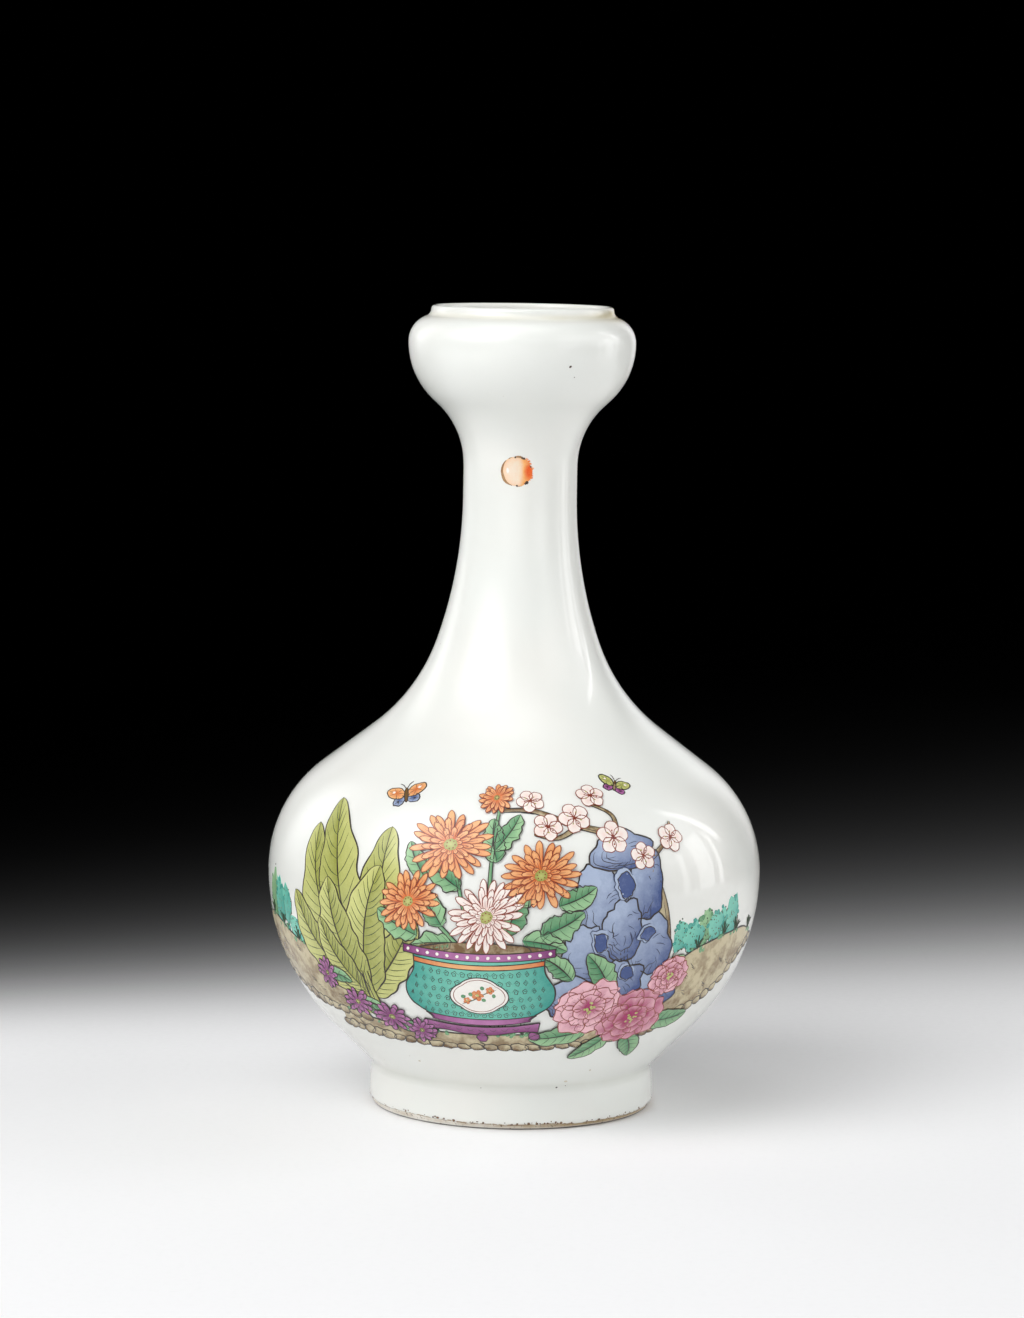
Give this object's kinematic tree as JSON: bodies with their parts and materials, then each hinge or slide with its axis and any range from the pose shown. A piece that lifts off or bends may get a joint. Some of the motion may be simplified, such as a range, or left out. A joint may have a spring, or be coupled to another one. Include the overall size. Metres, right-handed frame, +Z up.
{
  "type": "garlic mouth vase",
  "caption": "Bottle vase with a round belly on a foot ring, a slim waisted neck and a garlic-shaped mouth with a short collar, white glaze with painted enamels.",
  "frame": {"origin": "centre of the foot rim, on the surface that the vase stands on", "axes": "+Z up along the vase's axis, -Y towards the painted front, +X to the viewer's right"},
  "size_m": [0.1356, 0.1356, 0.22],
  "materials": {
    "porcelain": "matte",
    "luting_slip": "matte",
    "white_glaze": "gloss",
    "red_enamel": "gloss",
    "yellow_green_enamel": "gloss",
    "green_enamel": "gloss",
    "turquoise_enamel": "gloss",
    "purple_enamel": "gloss",
    "blue_enamel": "gloss",
    "pink_enamel": "gloss",
    "white_enamel": "gloss",
    "brown_enamel": "gloss",
    "outline_enamel": "gloss"
  },
  "bodies": {
    "root": {"foot_ring": "porcelain", "lower_body": "porcelain", "upper_body": "porcelain", "neck": "porcelain", "garlic_mouth": "porcelain", "foot_luting": "luting_slip", "girth_luting": "luting_slip", "shoulder_luting": "luting_slip", "mouth_luting": "luting_slip", "outer_glaze": "white_glaze", "inner_glaze": "white_glaze", "base_glaze": "white_glaze", "sun_enamel": "red_enamel"}
  },
  "joints": []
}
